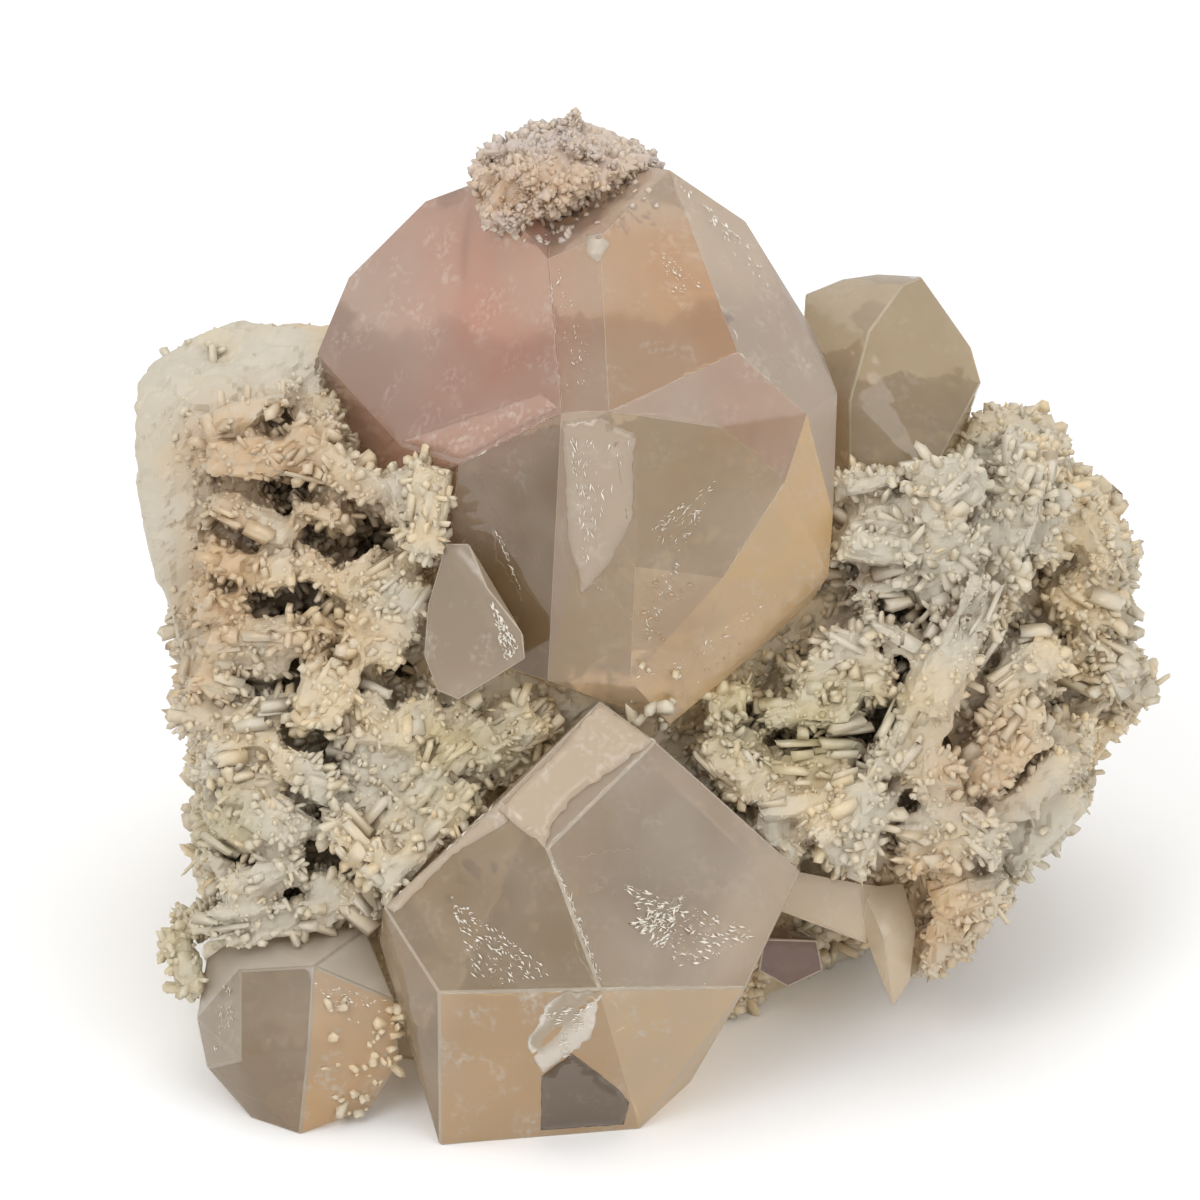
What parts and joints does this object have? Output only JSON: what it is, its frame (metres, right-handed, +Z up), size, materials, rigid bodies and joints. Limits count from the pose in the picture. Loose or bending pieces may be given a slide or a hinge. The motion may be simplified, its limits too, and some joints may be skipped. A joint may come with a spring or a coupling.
{
  "type": "morganite on albite mineral specimen",
  "caption": "Natural mineral specimen: a large pink to smoky flat-faced crystal and smaller smoky crystals standing on a rough bladed albite matrix with a flat broken base.",
  "frame": {"origin": "middle of the footprint box, on the plane of the table under the specimen", "axes": "+Z up, +X to the right of the face that shows the large crystal, +Y away from the viewer"},
  "size_m": [0.104, 0.074, 0.0888],
  "materials": {
    "morganite": "polished",
    "druse": "rough",
    "olive_crystal": "satin",
    "smoky_crystal": "polished",
    "tan_crystal": "satin",
    "frosted_crystal": "satin",
    "brown_crystal": "satin",
    "albite": "matte"
  },
  "bodies": {
    "root": {"morganite": "morganite", "druse_cap": "druse", "back_crystal": "olive_crystal", "front_crystal": "smoky_crystal", "corner_crystal": "smoky_crystal", "tooth_crystal": "tan_crystal", "side_crystal": "frosted_crystal", "foot_crystal": "brown_crystal", "albite_matrix": "albite"}
  },
  "joints": []
}
